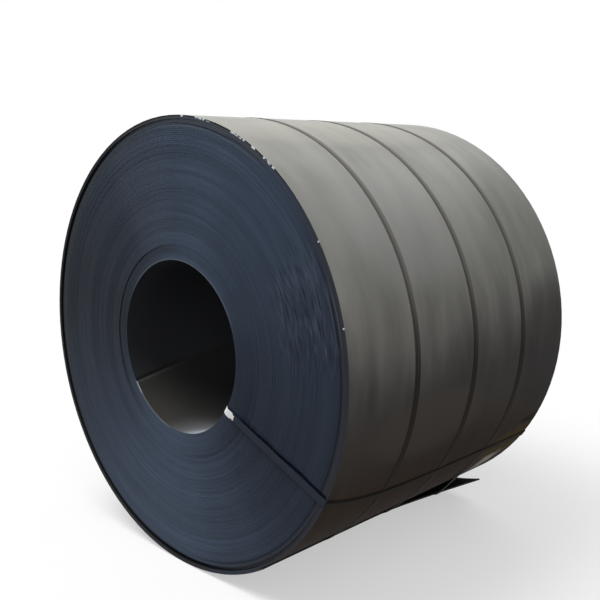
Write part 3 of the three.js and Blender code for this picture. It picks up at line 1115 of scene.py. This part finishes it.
def flat_bar(name: str, steps: int, gauge: float, width: float, round_edge: float,
             segments: int) -> Piece:
    """Models a straight flat bar with round long edges.

    It runs along X from 0 to `steps`, one metre a step, with its width along Y and its gauge
    along Z from 0 up.

    Args:
        name: Name of the object.
        steps: Number of faces along the bar.
        gauge: Thickness of the bar.
        width: Width of the bar.
        round_edge: Radius of its long edges.
        segments: Faces across each round edge.

    Returns:
        The bar.
    """
    def is_long_edge(edge: bmesh.types.BMEdge) -> bool:
        """Whether an edge lies along one of the bar's four corners."""
        a, b = (vertex.co for vertex in edge.verts)
        return abs(a.x - b.x) > gauge and abs(abs(a.y) - width / 2) < gauge

    select_only()
    bpy.ops.mesh.primitive_grid_add(x_subdivisions=steps, y_subdivisions=1, size=1)
    bar = bpy.context.object
    bar.name = name
    with editing(bar):
        bpy.ops.mesh.select_all(action="SELECT")
        bpy.ops.transform.resize(value=(steps, width, 1))
        bpy.ops.transform.translate(value=(steps / 2, 0, 0))
        bpy.ops.mesh.extrude_region_move(TRANSFORM_OT_translate={"value": (0, 0, gauge)})
        bpy.ops.mesh.select_all(action="SELECT")
        bpy.ops.mesh.normals_make_consistent(inside=False)
        bpy.ops.mesh.select_mode(type="EDGE")
        bpy.ops.mesh.select_all(action="DESELECT")
        select_parts(bar, Part.EDGES, is_long_edge)
        bpy.ops.mesh.bevel(offset=round_edge, segments=segments, profile=0.5, affect="EDGES")
    return bar


def corner_points(piece: Piece) -> np.ndarray:
    """The piece's vertices, one row each.

    Args:
        piece: The piece.

    Returns:
        Its vertices' places.
    """
    points = np.empty(len(piece.data.vertices) * 3)
    piece.data.vertices.foreach_get("co", points)
    return points.reshape(-1, 3)


def move_points(piece: Piece, points: np.ndarray) -> None:
    """Puts the piece's vertices at new places."""
    piece.data.vertices.foreach_set("co", points.ravel())
    piece.data.update()


def mark_band(piece: Piece, steps: np.ndarray) -> None:
    """Keeps metres along and across a flat bar as its UV map, before the bar is laid.

    Args:
        piece: The bar, still straight.
        steps: Length of each of its steps once it is laid.
    """
    metres = np.concatenate([[0.0], np.cumsum(steps)])
    points = corner_points(piece)
    loops = np.empty(len(piece.data.loops), dtype=int)
    piece.data.loops.foreach_get("vertex_index", loops)
    along = np.interp(points[:, 0], np.arange(len(metres)), metres)
    places = np.stack([along, points[:, 1]], axis=1)[loops]
    piece.data.uv_layers[0].name = "band"
    piece.data.uv_layers["band"].data.foreach_set("uv", places.ravel())


def lay_bar(piece: Piece, path: list[Place]) -> None:
    """Bends a flat bar along a closed path, its first and last places being the same.

    Args:
        piece: The bar, still straight, with a step for each place but the first.
        path: The places along the path.
    """
    points = corner_points(piece)
    step = np.rint(points[:, 0]).astype(int)
    middle, up, across = (np.array(column)[step] for column in zip(*path))
    ends = ({0}, {len(path) - 1})
    caps = {face.index for face in piece.data.polygons
            if {step[vertex] for vertex in face.vertices} in ends}
    move_points(piece, middle + across * points[:, 1:2] + up * points[:, 2:3])
    close_ring(piece, caps)


def close_ring(piece: Piece, caps: set[int]) -> None:
    """Takes off a laid bar's two end faces and joins its ends.

    Args:
        piece: The bar.
        caps: The indices of its end faces.
    """
    with editing(piece):
        bpy.ops.mesh.select_mode(type="FACE")
        select_parts(piece, Part.FACES, lambda face: face.index in caps)
        bpy.ops.mesh.delete(type="ONLY_FACE")
        bpy.ops.mesh.select_mode(type="VERT")
        bpy.ops.mesh.select_all(action="SELECT")
        bpy.ops.mesh.remove_doubles(threshold=WELD_DISTANCE)
        bpy.ops.mesh.normals_make_consistent(inside=False)


def smooth_below(piece: Piece, degrees: float) -> None:
    """Shades the piece smooth where its faces meet at less than an angle."""
    select_only(piece)
    bpy.ops.object.shade_smooth_by_angle(angle=math.radians(degrees))


# ------------------------------------------------------------------------------ strip


@dataclass
class WoundStrip:
    """The whole coil: one strip, wound from its head in the bore to its sprung tail."""

    winding: Winding
    relief: EdgeRelief
    step: float = 3.6
    head_steps: int = 14
    head_reach: float = 25.2
    tail_steps: int = 18
    round_edge: float = 0.0009
    round_segments: int = 2
    width_cuts: int = 11
    crease: float = 20.0

    def stations(self) -> np.ndarray:
        """Degrees wound at each step of the bar: even turns, with finer loose ends.

        Returns:
            The degrees, from the head to the tail.
        """
        total = self.winding.wound
        body_end = math.floor((total - self.winding.tail_lift_angle) / self.step) * self.step
        head = np.linspace(0, self.head_reach, self.head_steps + 1)
        body = np.arange(self.head_reach + self.step, body_end - self.step / 2, self.step)
        tail = np.linspace(body_end, total, self.tail_steps + 1)
        return np.concatenate([head, body, tail])

    def build(self, finishes: tuple[Material, ...]) -> Piece:
        """Models the strip and winds it.

        Args:
            finishes: Finishes of its outer side, of its edges and of its inner side.

        Returns:
            The wound strip.
        """
        stations = self.stations()
        strip = flat_bar("wound_strip", len(stations) - 1, self.winding.gauge, self.winding.width,
                         self.round_edge, self.round_segments)
        self.cut_loose_ends(strip, stations)
        radii = self.winding.radius(stations)
        mark_band(strip, np.radians(np.diff(stations)) * (radii[1:] + radii[:-1]) / 2)
        self.dress(strip, finishes)
        self.wind(strip, stations)
        smooth_below(strip, self.crease)
        return strip

    def cut_loose_ends(self, strip: Piece, stations: np.ndarray) -> None:
        """Cuts both loose ends across their width, so that they can bend and take a shape.

        Args:
            strip: The bar, still straight.
            stations: Degrees wound at each of its steps.
        """
        last_body = len(stations) - 1 - self.tail_steps
        with editing(strip):
            bpy.ops.mesh.select_mode(type="FACE")
            for cut in range(1, self.width_cuts + 1):
                y = (cut / (self.width_cuts + 1) - 0.5) * self.winding.width
                select_parts(strip, Part.FACES, lambda face: not (
                    self.head_steps <= face.calc_center_median().x <= last_body))
                bpy.ops.mesh.bisect(plane_co=(0, y, 0), plane_no=(0, 1, 0))

    def dress(self, strip: Piece, finishes: tuple[Material, ...]) -> None:
        """Gives the flat sides and the edges their finishes, while the bar is straight.

        Args:
            strip: The bar, still straight.
            finishes: Finishes of its outer side, of its edges and of its inner side.
        """
        for finish in finishes:
            strip.data.materials.append(finish)
        for face in strip.data.polygons:
            is_flat = abs(face.normal.z) > FLAT_NORMAL
            face.material_index = (0 if face.normal.z > 0 else 2) if is_flat else 1

    def wind(self, strip: Piece, stations: np.ndarray) -> None:
        """Rolls the straight bar up along the winding, and turns over its faces, since winding
        mirrors them.

        Args:
            strip: The bar, still straight.
            stations: Degrees wound at each of its steps.
        """
        law = self.winding
        points = corner_points(strip)
        wound = np.interp(points[:, 0], np.arange(len(stations)), stations)
        y = points[:, 1]
        tongue = law.head_tongue * np.cos(np.pi * y / law.width)
        wound = wound - tongue * np.clip(1 - wound / self.head_reach, 0, 1)
        recess = np.where(y < 0, self.relief.depth(law, wound, End.FRONT),
                          self.relief.depth(law, wound, End.BACK))
        radius = law.radius(wound) + points[:, 2] + law.lift(wound, y)
        angle = np.radians(law.head_angle + wound)
        laid = np.stack([law.axis_x + radius * np.cos(angle),
                         y * (1 - recess / (law.width / 2)),
                         law.axis_z + radius * np.sin(angle)], axis=1)
        move_points(strip, laid)
        with editing(strip):
            bpy.ops.mesh.select_all(action="SELECT")
            bpy.ops.mesh.flip_normals()


# ------------------------------------------------------------------------------ straps


@dataclass
class StrapStock:
    """The strapping that all straps are cut from."""

    width: float = 0.032
    gauge: float = 0.001
    clearance: float = 0.0003
    round_edge: float = 0.0003
    crease: float = 30.0

    def lay(self, name: str, path: list[Place], finish: Material) -> Piece:
        """Cuts a length of strapping and lays it round a closed path.

        Args:
            name: Name of the strap.
            path: The places along it, but not the first again at the end.
            finish: Its finish.

        Returns:
            The strap.
        """
        path = path + path[:1]
        strap = flat_bar(name, len(path) - 1, self.gauge, self.width, self.round_edge, 1)
        mark_band(strap, [(b.middle - a.middle).length for a, b in zip(path, path[1:])])
        lay_bar(strap, path)
        smooth_below(strap, self.crease)
        strap.data.materials.append(finish)
        return strap


@dataclass
class BodyStrap:
    """A strap round the outside of the coil, taut over the sprung tail."""

    winding: Winding
    stock: StrapStock
    number: int
    y: float
    step: float = 1.8

    def outline(self) -> list[Vector]:
        """The taut outline of the strap's inside face, counter-clockwise from the front.

        Returns:
            The places along it.
        """
        edges = (self.y - self.stock.width / 2, self.y + self.stock.width / 2)
        points = []
        for i in range(round(FULL_TURN / self.step)):
            angle = self.winding.tail_angle + i * self.step
            radius = max(self.winding.outside(angle, y) for y in edges) + self.stock.clearance
            points.append(self.winding.place(radius, angle, self.y))
        return taut(points)

    def build(self, finish: Material) -> Piece:
        """Models the strap.

        Args:
            finish: Its finish.

        Returns:
            The strap.
        """
        outline = self.outline()
        path = []
        for last, here, after in zip(outline[-1:] + outline, outline, outline[1:] + outline[:1]):
            along = ((here - last).normalized() + (after - here).normalized()).normalized()
            path.append(Place(here, Vector((along.z, 0, -along.x)), Vector((0, 1, 0))))
        return self.stock.lay(f"taut_body_strap_{self.number}", path, finish)


def taut(points: list[Vector]) -> list[Vector]:
    """The convex outline round points in a plane across Y, counter-clockwise from the front.

    Args:
        points: The points.

    Returns:
        Those that the outline passes through, in their order.
    """
    ordered = sorted(points, key=lambda p: (p.x, p.z))
    hull: list[Vector] = []
    for run in (ordered, ordered[::-1]):
        chain: list[Vector] = []
        for point in run:
            while len(chain) > 1 and not turns_left(chain[-2], chain[-1], point):
                chain.pop()
            chain.append(point)
        hull += chain[:-1]
    return hull


def turns_left(a: Vector, b: Vector, c: Vector) -> bool:
    """Whether a path through three places turns left, seen from the front."""
    return (b.x - a.x) * (c.z - a.z) - (b.z - a.z) * (c.x - a.x) > 0


class Bend(NamedTuple):
    """A corner of the eye strap's path, as radius and Y, with its angle and its bend radius."""

    corner: Vector
    angle: float
    bend: float


class Station(NamedTuple):
    """A place on the eye strap's path, as radius and Y, with the direction out from it."""

    place: Vector
    angle: float
    outward: Vector


@dataclass
class EyeStrap:
    """The strap through the bore and along the outside."""

    winding: Winding
    stock: StrapStock
    rim_bend: float = 0.006
    lip_bend: float = 0.025
    front_lip: float = 327.0
    front_rim: float = 332.5
    back_rim: float = 325.0
    back_lip: float = 329.0
    outer_sweep: float = 5.0
    rim_standoff: float = 0.0026
    lip_standoff: float = 0.0081
    bend_steps: int = 10
    run_steps: int = 24

    def rim(self, end: End, angle: float) -> Bend:
        """The bend at the outside of one end.

        Args:
            end: Which end of the coil.
            angle: Where round the coil.

        Returns:
            The bend.
        """
        radius = self.winding.outside(angle, 0) + self.rim_standoff
        y = self.winding.width / 2 + self.rim_standoff
        return Bend(Vector((radius, end.value * y)), angle, self.rim_bend)

    def lip(self, end: End, angle: float) -> Bend:
        """The bend at the bore of one end.

        Args:
            end: Which end of the coil.
            angle: Where round the coil.

        Returns:
            The bend.
        """
        radius = self.winding.inside(angle) - self.lip_standoff
        y = self.winding.width / 2 + self.lip_standoff
        return Bend(Vector((radius, end.value * y)), angle, self.lip_bend)

    def arc(self, before: Vector, here: Bend, after: Vector) -> list[Station]:
        """The stations round one bend, between the corners before and after it.

        Args:
            before: The corner before it.
            here: The bend.
            after: The corner after it.

        Returns:
            The stations, in the order of the path.
        """
        arriving = (here.corner - before).normalized()
        leaving = (after - here.corner).normalized()
        turn = math.atan2(arriving.x * leaving.y - arriving.y * leaving.x, arriving.dot(leaving))
        start = here.corner - arriving * here.bend * math.tan(turn / 2)
        normal = Vector((arriving.y, -arriving.x))
        centre = start - normal * here.bend
        parts = (turn * i / self.bend_steps for i in range(self.bend_steps + 1))
        outward = [normal * math.cos(part) + arriving * math.sin(part) for part in parts]
        return [Station(centre + out * here.bend, here.angle, out) for out in outward]

    def run(self, start: Station, end: Station, sweep: float) -> list[Station]:
        """The stations between two bends, most of the turn near the start if it sweeps.

        Args:
            start: The last station of the bend before.
            end: The first station of the bend after.
            sweep: How much of the turn is near the start, or 1 if it is even.

        Returns:
            The stations between them.
        """
        first, last = (toward(station.angle) * station.place.x for station in (start, end))
        stations = []
        for i in range(1, self.run_steps):
            share = i / self.run_steps
            line = first.lerp(last, 1 - (1 - share) ** sweep)
            angle = math.degrees(math.atan2(line.z, line.x))
            stations.append(Station(start.place.lerp(end.place, share), angle, start.outward))
        return stations

    def stations(self) -> list[Station]:
        """All the way round, from the front rim by the back to the bore.

        Returns:
            The stations, the last one next to the first.
        """
        bends = (self.rim(End.FRONT, self.front_rim), self.rim(End.BACK, self.back_rim),
                 self.lip(End.BACK, self.back_lip), self.lip(End.FRONT, self.front_lip))
        arcs = [self.arc(before.corner, here, after.corner)
                for before, here, after in zip(bends[-1:] + bends, bends, bends[1:] + bends[:1])]
        stations = []
        for arc, after, sweep in zip(arcs, arcs[1:] + arcs[:1], (self.outer_sweep, 1, 1, 1)):
            stations += arc + self.run(arc[-1], after[0], sweep)
        return stations

    def build(self, finish: Material) -> Piece:
        """Models the strap.

        Args:
            finish: Its finish.

        Returns:
            The strap.
        """
        stations = self.stations()
        middles = [self.winding.place(place.x, angle, place.y) for place, angle, _ in stations]
        path = []
        for i, (_, angle, outward) in enumerate(stations):
            up = toward(angle) * outward.x + Vector((0, outward.y, 0))
            along = (middles[(i + 1) % len(middles)] - middles[i - 1]).normalized()
            across = along.cross(up).normalized()
            path.append(Place(middles[i], across.cross(along), across))
        return self.stock.lay("taut_eye_strap", path, finish)


# ------------------------------------------------------------------------------ studio


@dataclass(frozen=True)
class Lamp:
    """A soft rectangular lamp aimed at the coil.

    Its heading is in degrees from straight behind the coil toward +X, its height in degrees
    above the level of its target, and a radiance of 1 is white.
    """

    name: str
    heading: float
    height: float
    distance: float
    size: tuple[float, float]
    radiance: float

    def build(self, target: Vector) -> None:
        """Hangs the lamp.

        Args:
            target: The place it is aimed at.
        """
        turn, rise = math.radians(self.heading), math.radians(self.height)
        back = Vector((math.sin(turn) * math.cos(rise), math.cos(turn) * math.cos(rise),
                       math.sin(rise)))
        bpy.ops.object.light_add(type="AREA", location=target + back * self.distance)
        lamp = bpy.context.object
        lamp.name = self.name
        lamp.rotation_euler = (-back).to_track_quat("-Z", "Y").to_euler()
        lamp.data.shape = "RECTANGLE"
        lamp.data.size, lamp.data.size_y = self.size
        lamp.data.energy = self.radiance * math.pi * self.size[0] * self.size[1]
        lamp.visible_camera = False


@dataclass
class Studio:
    """Floor, white surroundings, soft lamps and the camera."""

    camera_place: Vector = field(default_factory=lambda: Vector((2.8444, -2.9150, 1.7911)))
    camera_heading: float = 44.479
    camera_pitch: float = -9.658
    camera_lens: float = 50.433
    sensor: float = 36.0
    target: Vector = field(default_factory=lambda: Vector((0.0, 0.0, 1.0)))
    floor_size: float = 120.0
    ambient: float = 0.15
    lamps: tuple[Lamp, ...] = (
        Lamp("back_right", 18.0, 50.0, 6.5, (6.0, 3.6), 2.1),
        Lamp("front_left", 215.0, 60.0, 6.5, (4.0, 4.0), 9.8),
        Lamp("near_right", 125.0, 22.0, 4.5, (3.0, 3.0), 1.9),
    )

    def build(self) -> None:
        """Sets the whole studio up."""
        self.floor()
        self.surroundings()
        for lamp in self.lamps:
            lamp.build(self.target)
        self.camera()
        bpy.context.scene.view_settings.view_transform = "Standard"

    def floor(self) -> None:
        """Lays the floor under the coil."""
        select_only()
        bpy.ops.mesh.primitive_plane_add(size=self.floor_size)
        floor = bpy.context.object
        floor.name = "studio_floor"
        floor.data.materials.append(PaleFloor().build())

    def surroundings(self) -> None:
        """White to the eye and in reflections, softer as a light."""
        graph = Graph(bpy.data.worlds.new("surroundings"))
        strength = graph.seen().scaled(self.ambient, 1.0)
        white = graph.signal("Background", {"Color": (1.0, 1.0, 1.0), "Strength": strength})
        graph.node("OutputWorld", (white,))
        bpy.context.scene.world = graph.owner

    def camera(self) -> None:
        """Places the camera at eye height, to the front and right of the coil."""
        bpy.ops.object.camera_add(location=self.camera_place)
        camera = bpy.context.object
        camera.name = "camera"
        camera.rotation_euler = (math.radians(90 + self.camera_pitch), 0,
                                 math.radians(self.camera_heading))
        camera.data.sensor_width = self.sensor
        camera.data.lens = self.camera_lens
        bpy.context.scene.camera = camera


# ------------------------------------------------------------------------------ assembly


def place_piece(piece: Piece, node: str) -> None:
    """Ties a piece to the frame and reports it.

    Args:
        piece: The piece.
        node: The CAD node that it takes the place of.
    """
    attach(piece, "root")
    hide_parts(node)
    triangles = sum(len(face.vertices) - 2 for face in piece.data.polygons)
    LOG.info("%s stands for %s: %d triangles", piece.name, node, triangles)


def main() -> None:
    """Builds the coil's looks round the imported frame."""
    logging.basicConfig(level=logging.INFO, format="%(message)s")
    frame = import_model()
    winding = Winding()
    stock = StrapStock()
    Studio().build()

    finishes = (RolledScale().build(), MillEdge().build(), BoreScale().build())
    place_piece(WoundStrip(winding, EdgeRelief()).build(finishes), "coil")
    strap_finish = StrapScale().build()
    for i, shift in enumerate(BODY_STRAP_SHIFTS):
        y = winding.width * ((i + 1) / (len(BODY_STRAP_SHIFTS) + 1) - 0.5) + shift
        strap = BodyStrap(winding, stock, i + 1, y).build(strap_finish)
        place_piece(strap, f"body_strap_{i + 1}")
    place_piece(EyeStrap(winding, stock).build(EyeStrapLook().build()), "eye_strap")
    seal_finish = SealSteel().build()
    for name, node in frame["nodes"].items():
        if "seal" in name:
            node.data.materials.clear()
            node.data.materials.append(seal_finish)


if __name__ == "__main__":
    main()
